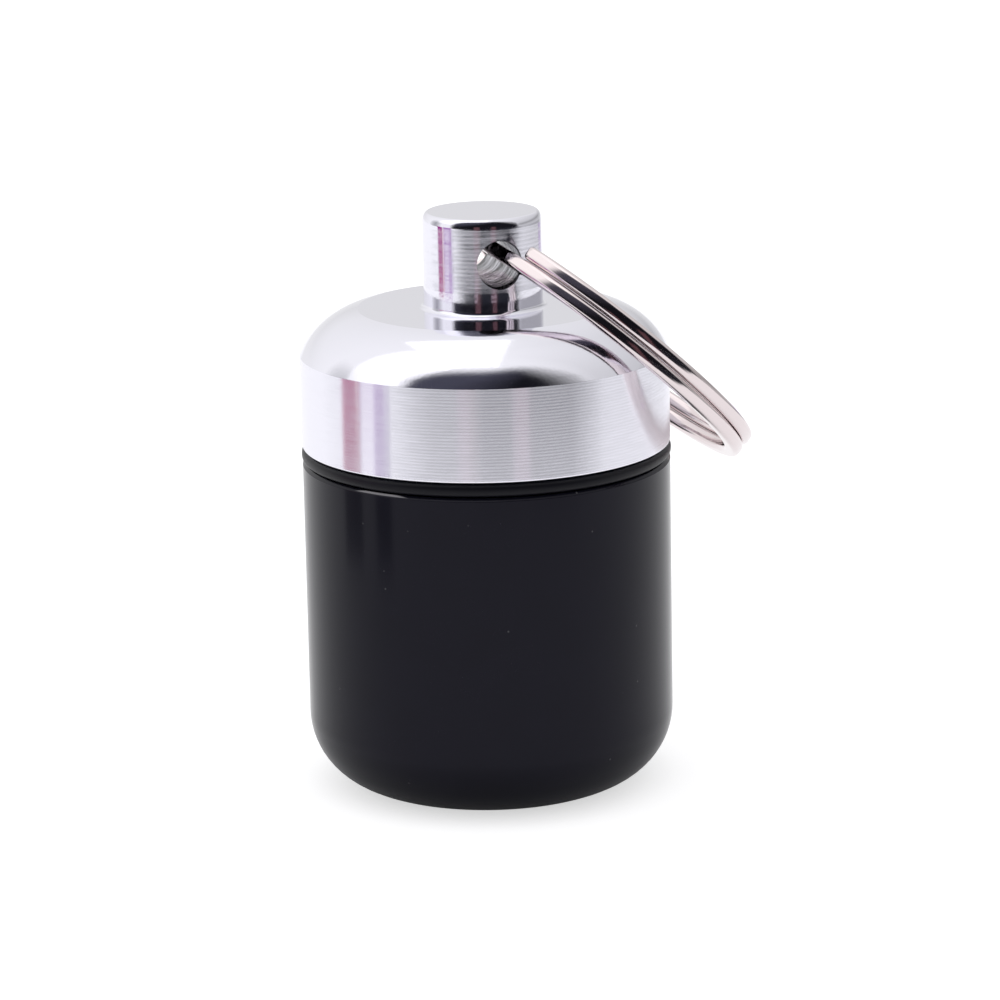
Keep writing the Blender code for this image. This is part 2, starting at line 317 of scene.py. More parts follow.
def rounded(corners):
    """Profile through (radius, level, fillet) corners, each fillet an arc with a support point beyond it."""
    points = []
    last = len(corners) - 1
    for index, (radius, level, fillet) in enumerate(corners):
        here = Vector((radius, level))
        if index in (0, last) or fillet == 0:
            points.append(here)
            continue
        back = (Vector(corners[index - 1][:2]) - here).normalized()
        ahead = (Vector(corners[index + 1][:2]) - here).normalized()
        half = back.angle(ahead) / 2
        reach = fillet / math.tan(half)
        centre = here + (back + ahead).normalized() * fillet / math.sin(half)
        first = here + back * reach - centre
        turn = first.angle_signed(here + ahead * reach - centre)
        steps = max(2, math.ceil(abs(turn) / FILLET_STEP))
        points.append(here + back * (reach + SUPPORT_GAP))
        for step in range(steps + 1):
            points.append(centre + Matrix.Rotation(-turn * step / steps, 2) @ first)
        points.append(here + ahead * (reach + SUPPORT_GAP))
    return [tuple(point) for point in points]


def corner_points(points):
    """Points of an arc as corners that need no fillet."""
    return [(radius, level, 0) for radius, level in points]


def rotate(bm, angle, axis):
    """Turn a whole bmesh about an axis through the origin."""
    bmesh.ops.rotate(bm, verts=bm.verts, cent=ORIGIN, matrix=Matrix.Rotation(angle, 3, axis))


def spin(bm, geom, angle, steps=1, rise=0.0, merge=False):
    """Spin geometry about Z, with a rise at each step, and give the last station."""
    spun = bmesh.ops.spin(
        bm, geom=geom, cent=ORIGIN, axis=(0, 0, 1), dvec=(0, 0, rise), angle=angle,
        space=Matrix.Identity(4), steps=steps, use_merge=merge, use_normal_flip=False, use_duplicate=False)
    return spun["geom_last"]


def outline(bm, points):
    """Vertices at the given points with an edge from each to the next."""
    verts = [bm.verts.new(point) for point in points]
    return verts, [bm.edges.new(pair) for pair in zip(verts, verts[1:])]


def turned(profile, steps=TURN_STEPS, closed=False):
    """Spin a profile about Z into one closed bmesh."""
    bm = bmesh.new()
    verts, edges = outline(bm, [(radius, 0, level) for radius, level in profile])
    if closed:
        edges.append(bm.edges.new((verts[-1], verts[0])))
    spin(bm, verts + edges, FULL_TURN, steps, merge=True)
    bmesh.ops.remove_doubles(bm, verts=bm.verts, dist=WELD)
    bmesh.ops.recalc_face_normals(bm, faces=bm.faces)
    return bm


def shade(mesh):
    """Shade smooth, with the real edges sharp."""
    mesh.shade_smooth()
    mesh.set_sharp_from_angle(angle=SHARP_ANGLE)


def finished(name, bm, materials):
    """Object at the origin from a bmesh."""
    mesh = bpy.data.meshes.new(name)
    bm.to_mesh(mesh)
    bm.free()
    shade(mesh)
    for material in materials:
        mesh.materials.append(material)
    obj = bpy.data.objects.new(name, mesh)
    bpy.context.scene.collection.objects.link(obj)
    return obj


def along_outline(tree, place):
    """How far a point lies along a turned outline: its level less its radius."""
    split = add_node(tree, "ShaderNodeSeparateXYZ", links={"Vector": place})
    flat = add_node(tree, "ShaderNodeVectorMath", {1: (1, 1, 0)}, {0: place}, operation="MULTIPLY")
    radius = add_node(tree, "ShaderNodeVectorMath", links={0: flat.outputs["Vector"]}, operation="LENGTH")
    along = add_node(
        tree, "ShaderNodeMath", links={0: split.outputs["Z"], 1: radius.outputs["Value"]},
        operation="SUBTRACT")
    return along.outputs["Value"]


def grained(tree, shader, roughness, rough_by, bump, bump_by, spread=(0, 1)):
    """Run a shader's roughness between two values by one pattern, and bump it by another.

    The bump is a strength and a depth, and the spread is what the first pattern covers.
    """
    rough = add_node(
        tree, "ShaderNodeMapRange",
        {"From Min": spread[0], "From Max": spread[1], "To Min": roughness[0], "To Max": roughness[1]},
        {"Value": rough_by})
    height = add_node(
        tree, "ShaderNodeBump", {"Strength": bump[0], "Distance": bump[1]}, {"Height": bump_by})
    links = {"Roughness": rough.outputs["Result"], "Normal": height.outputs["Normal"]}
    set_inputs(tree, shader, links=links)


def anodised_aluminium(colours):
    """Black anodised aluminium: a dyed oxide, deep black and glossy, that shows dust, and a worn edge painted
    lighter grey as a highlight.
    """
    material, tree, shader = new_material("black_anodised_aluminium")
    place = add_node(tree, "ShaderNodeTexCoord").outputs["Object"]
    cloud = add_node(tree, "ShaderNodeTexNoise", {"Scale": 260, "Detail": 3}, {"Vector": place})
    tone = add_node(
        tree, "ShaderNodeMapRange", {"To Min": 0.75, "To Max": 1.3}, {"Value": cloud.outputs["Fac"]})
    base = add_node(
        tree, "ShaderNodeVectorMath", {0: tuple(colours.anodising)}, {"Scale": tone.outputs["Result"]},
        operation="SCALE")
    # Dust, a grain in about one cell of five, each cell 1.4 mm
    specks = add_node(
        tree, "ShaderNodeTexVoronoi", {"Scale": 700, "Randomness": 1}, {"Vector": place}, feature="F1")
    grain = add_node(
        tree, "ShaderNodeMapRange", {"From Min": 0.03, "From Max": 0.07, "To Min": 0.06, "To Max": 0},
        {"Value": specks.outputs["Distance"]})
    chosen = add_node(tree, "ShaderNodeSeparateColor", links={"Color": specks.outputs["Color"]})
    few = add_node(
        tree, "ShaderNodeMath", {1: 0.8}, {0: chosen.outputs["Red"]}, operation="GREATER_THAN")
    dust = add_node(
        tree, "ShaderNodeMath", links={0: grain.outputs["Result"], 1: few.outputs["Value"]},
        operation="MULTIPLY")
    dusty = add_node(
        tree, "ShaderNodeVectorMath", links={0: base.outputs["Vector"], 1: dust.outputs["Value"]},
        operation="ADD")
    # Where something hard has rubbed the shoulder's chamfer, bare metal shows; the lighter grey patch at this
    # one bearing is also a painted highlight
    level = add_node(tree, "ShaderNodeSeparateXYZ", links={"Vector": place})
    above, below = (
        add_node(
            tree, "ShaderNodeMapRange",
            {"From Min": SHOULDER_LEVEL - start, "From Max": SHOULDER_LEVEL - end},
            {"Value": level.outputs["Z"]})
        for start, end in (WORN_HIGHLIGHT_LOWER_EDGE, WORN_HIGHLIGHT_UPPER_EDGE))
    toward = (math.sin(WORN_HIGHLIGHT_PLACE), -math.cos(WORN_HIGHLIGHT_PLACE), 0)
    facing = add_node(tree, "ShaderNodeVectorMath", {1: toward}, {0: place}, operation="DOT_PRODUCT")
    ends = [(CAN_RADIUS - WORN_HIGHLIGHT_INSET) * math.cos(math.radians(angle)) for angle in WORN_HIGHLIGHT_HALF_WIDTHS]
    patch = add_node(
        tree, "ShaderNodeMapRange", {"From Min": ends[0], "From Max": ends[1]},
        {"Value": facing.outputs["Value"]})
    band = add_node(
        tree, "ShaderNodeMath", links={0: above.outputs["Result"], 1: below.outputs["Result"]},
        operation="MULTIPLY")
    worn_highlight = add_node(
        tree, "ShaderNodeMath", links={0: band.outputs["Value"], 1: patch.outputs["Result"]},
        operation="MULTIPLY")
    colour = add_node(
        tree, "ShaderNodeMix", {"B": (*linear("#8c8a8e"), 1)},
        {"Factor": worn_highlight.outputs["Value"], "A": dusty.outputs["Vector"]}, data_type="RGBA")
    # Turning marks under the oxide, about 0.25 mm apart
    line = add_node(tree, "ShaderNodeCombineXYZ", links={"X": along_outline(tree, place)})
    marks = add_node(
        tree, "ShaderNodeTexNoise", {"Scale": 1 / (0.25 * MM), "Detail": 2},
        {"Vector": line.outputs["Vector"]})
    grained(
        tree, shader, roughness=(0.10, 0.18), rough_by=cloud.outputs["Fac"], bump=(0.15, 0.004 * MM),
        bump_by=marks.outputs["Fac"])
    set_inputs(
        tree, shader, {"Specular IOR Level": 0.18, "Specular Tint": (*linear("#eeebff"), 1)},
        {"Base Color": colour.outputs["Result"]})
    return material


def turned_aluminium(name, colours, feed, depth, tear, breaks, roughness):
    """Aluminium as the lathe tool leaves it: fine rings that spread its reflections up and down.

    The feed is the tool's advance in one turn, the depth that of its grooves. A tear is the height of
    one torn streak, and breaks is how much higher than the grooves the streaks stand.
    """
    material, tree, shader = new_material(name)
    place = add_node(tree, "ShaderNodeTexCoord").outputs["Object"]
    surface = {
        "Base Color": (*colours.aluminium, 1), "Metallic": 1, "Anisotropic": 1, "Anisotropic Rotation": 0.25,
    }
    set_inputs(tree, shader, surface)
    # The rings wander by up to half a feed, over about 6 mm
    wander = add_node(tree, "ShaderNodeTexNoise", {"Scale": 1 / (6 * MM), "Detail": 1}, {"Vector": place})
    shift = add_node(
        tree, "ShaderNodeMath", {1: 0.5 * feed}, {0: wander.outputs["Fac"], 2: along_outline(tree, place)},
        operation="MULTIPLY_ADD")
    turns = add_node(
        tree, "ShaderNodeMath", {1: FULL_TURN / feed}, {0: shift.outputs["Value"]}, operation="MULTIPLY")
    ridge = add_node(tree, "ShaderNodeMath", links={0: turns.outputs["Value"]}, operation="SINE")
    streaks = add_node(
        tree, "ShaderNodeVectorMath", {1: (0.12, 0.12, 1)}, {0: place}, operation="MULTIPLY")
    tears = add_node(
        tree, "ShaderNodeTexNoise", {"Scale": 1 / tear, "Detail": 4, "Roughness": 0.7},
        {"Vector": streaks.outputs["Vector"]})
    height = add_node(
        tree, "ShaderNodeMath", {1: breaks}, {0: tears.outputs["Fac"], 2: ridge.outputs["Value"]},
        operation="MULTIPLY_ADD")
    grained(
        tree, shader, roughness, tears.outputs["Fac"], bump=(1.0, depth), bump_by=height.outputs["Value"],
        spread=(0.35, 0.65))
    return material


def drilled_shaded_aluminium(colours):
    """Aluminium as the drill leaves it in the cross hole, with rings about the hole's axis, and greyer as
    painted shade in the hole.
    """
    material, tree, shader = new_material("drilled_shaded_aluminium")
    place = add_node(tree, "ShaderNodeTexCoord").outputs["Object"]
    # Rings about 0.5 mm apart, torn here and there
    rings = add_node(tree, "ShaderNodeVectorMath", {1: (0.3, 1, 0.3)}, {0: place}, operation="MULTIPLY")
    marks = add_node(
        tree, "ShaderNodeTexNoise", {"Scale": 1 / (1.0 * MM), "Detail": 3, "Roughness": 0.6},
        {"Vector": rings.outputs["Vector"]}).outputs["Fac"]
    # The rings also darken the colour to between 0.06 and 0.7 of the metal's, as painted shade in the hole
    tone = add_node(
        tree, "ShaderNodeMapRange", {"From Min": 0.40, "From Max": 0.66, "To Min": 0.06, "To Max": 0.7},
        {"Value": marks})
    base = add_node(
        tree, "ShaderNodeVectorMath", {0: tuple(colours.aluminium)}, {"Scale": tone.outputs["Result"]},
        operation="SCALE")
    set_inputs(tree, shader, {"Metallic": 1}, {"Base Color": base.outputs["Vector"]})
    grained(
        tree, shader, roughness=(0.08, 0.22), rough_by=marks, bump=(1.0, 0.18 * MM), bump_by=marks)
    return material


def polished_aluminium(colours):
    """The same aluminium polished on the dome, the flat top and the fillets, with a faint grain left."""
    material, tree, shader = new_material("polished_aluminium")
    place = add_node(tree, "ShaderNodeTexCoord").outputs["Object"]
    set_inputs(tree, shader, {"Base Color": (*colours.aluminium, 1), "Metallic": 1})
    cloud = add_node(tree, "ShaderNodeTexNoise", {"Scale": 900, "Detail": 4}, {"Vector": place})
    # Polishing grit, about 0.12 mm
    grit = add_node(
        tree, "ShaderNodeTexNoise", {"Scale": 1 / (0.24 * MM), "Detail": 2}, {"Vector": place})
    grained(
        tree, shader, roughness=(0.06, 0.13), rough_by=cloud.outputs["Fac"], bump=(1.0, 0.0025 * MM),
        bump_by=grit.outputs["Fac"])
    return material


def moulded_rubber(colours):
    """Black nitrile rubber: satin, with the fine grain of its mould."""
    material, tree, shader = new_material("moulded_rubber")
    place = add_node(tree, "ShaderNodeTexCoord").outputs["Object"]
    set_inputs(tree, shader, {"Base Color": (*colours.rubber, 1), "Specular IOR Level": 0.18})
    # Grain of 0.2 mm
    grain = add_node(
        tree, "ShaderNodeTexNoise", {"Scale": 5000, "Detail": 2}, {"Vector": place}).outputs["Fac"]
    grained(
        tree, shader, roughness=(0.30, 0.48), rough_by=grain, bump=(0.2, 0.01 * MM), bump_by=grain)
    return material


def nickel_plate(colours):
    """Bright nickel on drawn steel wire: a mirror with faint lines that run along the wire."""
    material, tree, shader = new_material("nickel_plated_steel")
    set_inputs(tree, shader, {"Base Color": (*colours.nickel, 1), "Metallic": 1})
    place = add_node(tree, "ShaderNodeAttribute", attribute_name="wire_place").outputs["Vector"]
    # Drawn lines, 0.18 mm across and fifty times as long
    drawn = add_node(tree, "ShaderNodeVectorMath", {1: (0.02, 1, 1)}, {0: place}, operation="MULTIPLY")
    lines = add_node(
        tree, "ShaderNodeTexNoise", {"Scale": 1 / (0.18 * MM), "Detail": 3, "Roughness": 0.6},
        {"Vector": drawn.outputs["Vector"]}).outputs["Fac"]
    grained(
        tree, shader, roughness=(0.05, 0.16), rough_by=lines, bump=(0.25, 0.02 * MM), bump_by=lines)
    return material


def can_profile():
    """Outline of the can from the bore's floor, up, over the neck and down the outside to the base."""
    floor_corner = (BORE_RADIUS - FLOOR_CORNER, FLOOR_LEVEL + FLOOR_CORNER)
    foot_centre = (CAN_RADIUS - FOOT_CORNER[0], FOOT_CORNER[1])
    corners = [(0, FLOOR_LEVEL, 0)]
    corners += corner_points(arc(floor_corner, (FLOOR_CORNER, FLOOR_CORNER), -90, 0))
    corners += [
        (BORE_RADIUS, NECK_TOP - BORE_CHAMFER, EDGE_BREAK),
        (BORE_RADIUS + BORE_CHAMFER, NECK_TOP, EDGE_BREAK),
        (NECK_ROOT_RADIUS - NECK_CHAMFER[0], NECK_TOP, NECK_LIP_BREAK),
        (NECK_ROOT_RADIUS, NECK_TOP - NECK_CHAMFER[1], EDGE_BREAK),
        (NECK_ROOT_RADIUS, SHOULDER_LEVEL, NECK_ROOT_FILLET),
        (CAN_RADIUS - SHOULDER_CHAMFER, SHOULDER_LEVEL, SHOULDER_BREAK),
        (CAN_RADIUS, SHOULDER_LEVEL - SHOULDER_CHAMFER, SHOULDER_BREAK),
    ]
    corners += corner_points(arc(foot_centre, FOOT_CORNER, 0, -90))
    corners.append((0, CAN_LOW.z, 0))
    return rounded(corners)


def cap_profile():
    """Outline of the cap from the knob's top, down the outside and up into the bore."""
    crown_edge = Vector((CROWN_RADIUS, CROWN_LEVEL))
    chord = Vector((CAP_RADIUS, CREASE_LEVEL)) - crown_edge
    half_turn = math.atan2(-chord.y, chord.x) - CROWN_EDGE_SLOPE
    radius = chord.length / (2 * math.sin(half_turn))
    centre = crown_edge - radius * Vector((math.sin(CROWN_EDGE_SLOPE), math.cos(CROWN_EDGE_SLOPE)))
    start = 90 - math.degrees(CROWN_EDGE_SLOPE)
    dome = corner_points(arc(centre, (radius, radius), start, start - math.degrees(2 * half_turn)))[1:-1]
    roof_corner = (CAP_BORE_RADIUS - CAP_ROOF_CORNER, CAP_ROOF_LEVEL - CAP_ROOF_CORNER)
    knob_edge = (KNOB_RADIUS - KNOB_EDGE[0], KNOB_TOP - KNOB_EDGE[1])
    corners = [(0, KNOB_TOP, 0), (knob_edge[0] - SUPPORT_GAP, KNOB_TOP, 0)]
    corners += corner_points(arc(knob_edge, KNOB_EDGE, 90, 0))
    corners += [
        (KNOB_RADIUS, knob_edge[1] - SUPPORT_GAP, 0),
        (KNOB_RADIUS, CROWN_LEVEL + KNOB_FOOT, 0),
        (KNOB_RADIUS, CROWN_LEVEL, KNOB_ROOT_FILLET),
        (*crown_edge, EDGE_BREAK),
    ]
    corners += dome
    corners += [
        (CAP_RADIUS, CREASE_LEVEL, CREASE_BREAK),
        (CAP_RADIUS, RIM_LEVEL, RIM_FILLET),
        (CAP_BORE_RADIUS + LEAD_IN, RIM_LEVEL, EDGE_BREAK),
        (CAP_BORE_RADIUS, RIM_LEVEL + LEAD_IN, EDGE_BREAK),
    ]
    corners += corner_points(arc(roof_corner, (CAP_ROOF_CORNER, CAP_ROOF_CORNER), 0, 90))
    corners.append((0, CAP_ROOF_LEVEL, 0))
    return rounded(corners)


def seal_profile(squareness):
    """Squeezed round cord, as a superellipse between the neck and just past the can's side."""
    inner, outer = NECK_CREST_RADIUS + SEAL_CLEARANCE, SEAL_HIGH.x
    middle, half_width = (inner + outer) / 2, (outer - inner) / 2
    half_height = (SEAL_HIGH.z - SEAL_LOW.z) / 2
    points = []
    for index in range(SEAL_STEPS):
        angle = -FULL_TURN * index / SEAL_STEPS
        across = math.copysign(abs(math.cos(angle)) ** (2 / squareness), math.cos(angle))
        up = math.copysign(abs(math.sin(angle)) ** (2 / squareness), math.sin(angle))
        points.append((middle + half_width * across, (SEAL_HIGH.z + SEAL_LOW.z) / 2 + half_height * up))
    return points


def thread_ridge(root_radius, crest_radius, start_level, turns):
    """Helical ridge with a trapezoid section whose ends run out into the wall."""
    bm = bmesh.new()
    outward = 1 if crest_radius > root_radius else -1
    foot = root_radius - outward * RIDGE_SINK
    section = [
        (foot, -RIDGE_ROOT_WIDTH / 2), (crest_radius, -RIDGE_CREST_WIDTH / 2),
        (crest_radius, RIDGE_CREST_WIDTH / 2), (foot, RIDGE_ROOT_WIDTH / 2),
    ]
    face = bm.faces.new([bm.verts.new((radius, 0, start_level + level)) for radius, level in section])
    rotate(bm, THREAD_START, "Z")
    geom = [face, *face.edges, *face.verts]
    stations = [list(face.verts)]
    steps = round(turns * RIDGE_STEPS)
    for _ in range(steps):
        geom = spin(bm, geom, FULL_TURN / RIDGE_STEPS, rise=PITCH / RIDGE_STEPS)
        stations.append([part for part in geom if isinstance(part, bmesh.types.BMVert)])
    runout = RIDGE_RUNOUT_TURNS * RIDGE_STEPS
    for index, verts in enumerate(stations):
        share = min(1, index / runout, (steps - index) / runout)
        height = max(math.sin(share * math.pi / 2), RIDGE_END_HEIGHT)
        for vert in verts:
            radius = math.hypot(vert.co.x, vert.co.y)
            shrunk = foot + (radius - foot) * height
            vert.co.x *= shrunk / radius
            vert.co.y *= shrunk / radius
    bmesh.ops.recalc_face_normals(bm, faces=bm.faces)
    return bm


def hole_cutter():
    """Bar with flared ends, turned about Z and then laid along Y through the knob."""
    half_length = KNOB_RADIUS + CUT_OVERRUN
    straight = KNOB_RADIUS - HOLE_FLARE_DEPTH
    mouth = HOLE_RADIUS + HOLE_FLARE * (half_length - straight) / HOLE_FLARE_DEPTH
    corners = [
        (0, half_length, 0), (mouth, half_length, 0), (HOLE_RADIUS, straight, HOLE_FLARE_FILLET),
        (HOLE_RADIUS, -straight, HOLE_FLARE_FILLET), (mouth, -half_length, 0), (0, -half_length, 0),
    ]
    bm = turned(rounded(corners), HOLE_STEPS)
    rotate(bm, math.pi / 2, "X")
    bmesh.ops.translate(bm, verts=bm.verts, vec=HOLE_CENTRE)
    return bm


def cut(obj, bm):
    """Cut a bmesh out of an object and keep the result as the object's own mesh."""
    cutter = finished("cutter", bm, [])
    modifier = obj.modifiers.new("Hole", "BOOLEAN")
    modifier.operation = "DIFFERENCE"
    modifier.solver = "EXACT"
    modifier.object = cutter
    graph = bpy.context.evaluated_depsgraph_get()
    mesh = bpy.data.meshes.new_from_object(obj.evaluated_get(graph))
    obj.modifiers.clear()
    obj.data = mesh
    bpy.data.objects.remove(cutter, do_unlink=True)
    shade(mesh)


def wire_level(turn, layer):
    """Upper layer for the first winding, lower for the second, with an eased drop between."""
    share = min(max((turn - JOGGLE_START) / JOGGLE_LENGTH, 0), 1)
    return layer * (1 - 2 * share * share * (3 - 2 * share))


def wound_wire(sizes):
    """Section of the wire spun through both windings, a step at a time, with its ends rounded."""
    layer = (sizes.wire_thickness + sizes.winding_gap) / 2
    mean_radius = RING_RADIUS - sizes.wire_width / 2
    bm = bmesh.new()
    bmesh.ops.create_grid(bm, x_segments=1, y_segments=1, size=0.5)
    bmesh.ops.scale(bm, verts=bm.verts, vec=(sizes.wire_width, sizes.wire_thickness, 1))
    bmesh.ops.bevel(
        bm, geom=list(bm.verts), offset=WIRE_CORNER, offset_type="OFFSET", segments=WIRE_CORNER_STEPS,
        profile=0.5, affect="VERTICES", material=-1)
    rotate(bm, math.pi / 2, "X")
    # Each point keeps its place along, across and up the wire, for the drawn lines
    place = bm.verts.layers.float_vector.new("wire_place")
    for vert in bm.verts:
        vert[place] = (WIRE_START * mean_radius, vert.co.x, vert.co.z)
    bmesh.ops.translate(bm, verts=bm.verts, vec=(mean_radius, 0, wire_level(WIRE_START, layer)))
    rotate(bm, WIRE_START + math.pi, "Z")
    geom = list(bm.faces) + list(bm.edges) + list(bm.verts)
    steps = round((WIRE_END - WIRE_START) / WIRE_STEP)
    for index in range(steps):
        turn = WIRE_START + WIRE_STEP * (index + 1)
        rise = wire_level(turn, layer) - wire_level(turn - WIRE_STEP, layer)
        geom = spin(bm, geom, WIRE_STEP, rise=rise)
        for part in geom:
            if isinstance(part, bmesh.types.BMVert):
                part[place][0] = turn * mean_radius
    bmesh.ops.recalc_face_normals(bm, faces=bm.faces)
    round_wire_ends(bm)
    return bm


def round_wire_ends(bm):
    """Take the burr off the wire's two cut ends."""
    caps = [face for face in bm.faces if len(face.verts) > 4]
    edges = {edge for face in caps for edge in face.edges}
    bmesh.ops.bevel(
        bm, geom=list(edges), offset=WIRE_BURR, offset_type="OFFSET", segments=2, profile=0.5,
        affect="EDGES", material=-1)


def ring_transform(mean_radius):
    """From the ring's own flat frame, centred on its axis, to where it hangs."""
    to_hole = Matrix.Translation((mean_radius - RING_SLACK, RING_SHIFT, RING_OFFSET))
    swing = Euler((RING_LEAN, RING_TILT, 0)).to_matrix().to_4x4()
    return Matrix.Translation(HOLE_CENTRE) @ swing @ to_hole


class CANISTER_OT_can(bpy.types.Operator):
    """Make the can with its neck and thread"""

    bl_idname = "canister.can"
    bl_label = "Can"

    def execute(self, context):
        metal = anodised_aluminium(context.scene.canister_colours)
        can = finished("can", turned(can_profile()), [metal])
        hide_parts("jar_body")
        ridge = thread_ridge(
            NECK_ROOT_RADIUS, NECK_CREST_RADIUS, SHOULDER_LEVEL + PITCH, NECK_THREAD_TURNS)
        thread = finished("can_thread", ridge, [metal])
        for piece in (can, thread):
            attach(piece, "jar")
        return {"FINISHED"}


class CANISTER_OT_seal(bpy.types.Operator):
    """Make the rubber seal on the can's shoulder"""

    bl_idname = "canister.seal"
    bl_label = "Seal"

    def execute(self, context):
        profile = seal_profile(context.scene.canister_sizes.seal_squareness)
        rubber = moulded_rubber(context.scene.canister_colours)
        seal = finished("seal", turned(profile, closed=True), [rubber])
        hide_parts("seal_ring")
        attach(seal, "seal")
        return {"FINISHED"}


class CANISTER_OT_cap(bpy.types.Operator):
    """Make the cap with its knob, cross hole and thread"""

    bl_idname = "canister.cap"
    bl_label = "Cap"

    def execute(self, context):
        colours = context.scene.canister_colours
        finishes = [
            polished_aluminium(colours),
            turned_aluminium(
                "turned_skirt", colours, feed=0.25 * MM, depth=0.0008 * MM, tear=0.3 * MM, breaks=1.4,
                roughness=(0.19, 0.24)),
            turned_aluminium(
                "turned_knob", colours, feed=0.33 * MM, depth=0.0009 * MM, tear=0.3 * MM, breaks=6.0,
                roughness=(0.10, 0.24)),
            drilled_shaded_aluminium(colours),
        ]
        cap = finished("turned_cap", turned(cap_profile()), finishes)
        cut(cap, hole_cutter())
        for face in cap.data.polygons:
            across = Vector((face.center.x, face.center.y)).length
            from_hole = Vector((face.center.x, face.center.z - HOLE_CENTRE.z)).length
            on_knob = CROWN_LEVEL + KNOB_FOOT < face.center.z < KNOB_TOP - KNOB_EDGE[1]
            if from_hole < HOLE_RADIUS + HOLE_MARGIN and abs(face.normal.y) < HOLE_WALL_TILT:
                face.material_index = DRILLED
            elif across > KNOB_RADIUS + SKIRT_MARGIN and abs(face.normal.z) < SKIRT_TILT:
                face.material_index = TURNED_SKIRT
            elif across > KNOB_RADIUS - KNOB_MARGIN and on_knob:
                face.material_index = TURNED_KNOB
            else:
                face.material_index = POLISHED
        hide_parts("cap")
        ridge = thread_ridge(
            CAP_BORE_RADIUS, CAP_THREAD_CREST, RIM_LEVEL + CAP_THREAD_LIFT + PITCH / 2, CAP_THREAD_TURNS)
        thread = finished("cap_thread", ridge, [finishes[TURNED_SKIRT]])
        for piece in (cap, thread):
            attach(piece, "cap")
        return {"FINISHED"}


class CANISTER_OT_split_ring(bpy.types.Operator):
    """Wind the split ring and hang it from the knob"""

    bl_idname = "canister.split_ring"
    bl_label = "Split ring"

    def execute(self, context):
        sizes = context.scene.canister_sizes
        bm = wound_wire(sizes)
        bmesh.ops.transform(
            bm, verts=bm.verts, matrix=ring_transform(RING_RADIUS - sizes.wire_width / 2))
        ring = finished("ring_wire", bm, [nickel_plate(context.scene.canister_colours)])
        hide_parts("split_ring")
        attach(ring, "ring")
        return {"FINISHED"}


def reflected_only(obj):
    """Seen in reflections and casting a shade, as a flag that stands outside the picture."""
    obj.visible_camera = False
    obj.visible_diffuse = False
    obj.visible_transmission = False


def studio_bearings(tree):
    """Bearing from the camera's side and height above the floor, in degrees, and reach in metres."""
    place = add_node(tree, "ShaderNodeTexCoord").outputs["Object"]
    split = add_node(tree, "ShaderNodeSeparateXYZ", links={"Vector": place})
    toward = add_node(tree, "ShaderNodeMath", {1: -1}, {0: split.outputs["Y"]}, operation="MULTIPLY")
    angle = add_node(
        tree, "ShaderNodeMath", links={0: split.outputs["X"], 1: toward.outputs["Value"]},
        operation="ARCTAN2")
    bearing = add_node(
        tree, "ShaderNodeMath", {1: math.degrees(1), 2: -math.degrees(CAMERA_TURN)},
        {0: angle.outputs["Value"]}, operation="MULTIPLY_ADD")
    wrapped = add_node(
        tree, "ShaderNodeMath", {1: FIRST_BEARING + 360, 2: FIRST_BEARING}, {0: bearing.outputs["Value"]},
        operation="WRAP")
    flat = add_node(tree, "ShaderNodeVectorMath", {1: (1, 1, 0)}, {0: place}, operation="MULTIPLY")
    reach = add_node(tree, "ShaderNodeVectorMath", links={0: flat.outputs["Vector"]}, operation="LENGTH")
    rise = add_node(
        tree, "ShaderNodeMath", links={0: split.outputs["Z"], 1: reach.outputs["Value"]},
        operation="ARCTAN2")
    height = add_node(
        tree, "ShaderNodeMath", {1: math.degrees(1)}, {0: rise.outputs["Value"]}, operation="MULTIPLY")
    return wrapped.outputs["Value"], height.outputs["Value"], reach.outputs["Value"]


def degree_ramp(tree, degrees, pairs, first=FIRST_BEARING, last=FIRST_BEARING + 360):
    """Colour that runs between (degrees, colour) pairs, in which a single level is a grey."""
    share = add_node(tree, "ShaderNodeMapRange", {"From Min": first, "From Max": last}, {"Value": degrees})
    stops = []
    for place, colour in pairs:
        if not isinstance(colour, tuple):
            colour = (colour, colour, colour)
        stops.append(((place - first) / (last - first), (*colour, 1)))
    ramp = add_node(tree, "ShaderNodeValToRGB", links={"Fac": share.outputs["Result"]}, stops=stops)
    return ramp.outputs["Color"]


def unlit_material(name):
    """Material without nodes, whose glow is seen but isn't searched for as a lamp."""
    material = bpy.data.materials.new(name)
    material.use_nodes = True
    material.cycles.emission_sampling = "NONE"
    material.node_tree.nodes.clear()
    return material, material.node_tree


def scrim_material(name):
    """Netting, as dense as the socket linked to Fac says."""
    material, tree = unlit_material(name)
    clear = add_node(tree, "ShaderNodeBsdfTransparent")
    cloth = add_node(tree, "ShaderNodeEmission", {"Strength": 1.0})
    mix = add_node(
        tree, "ShaderNodeMixShader", links={1: clear.outputs["BSDF"], 2: cloth.outputs["Emission"]})
    add_node(tree, "ShaderNodeOutputMaterial", links={"Surface": mix.outputs["Shader"]})
    return material, tree, cloth, mix


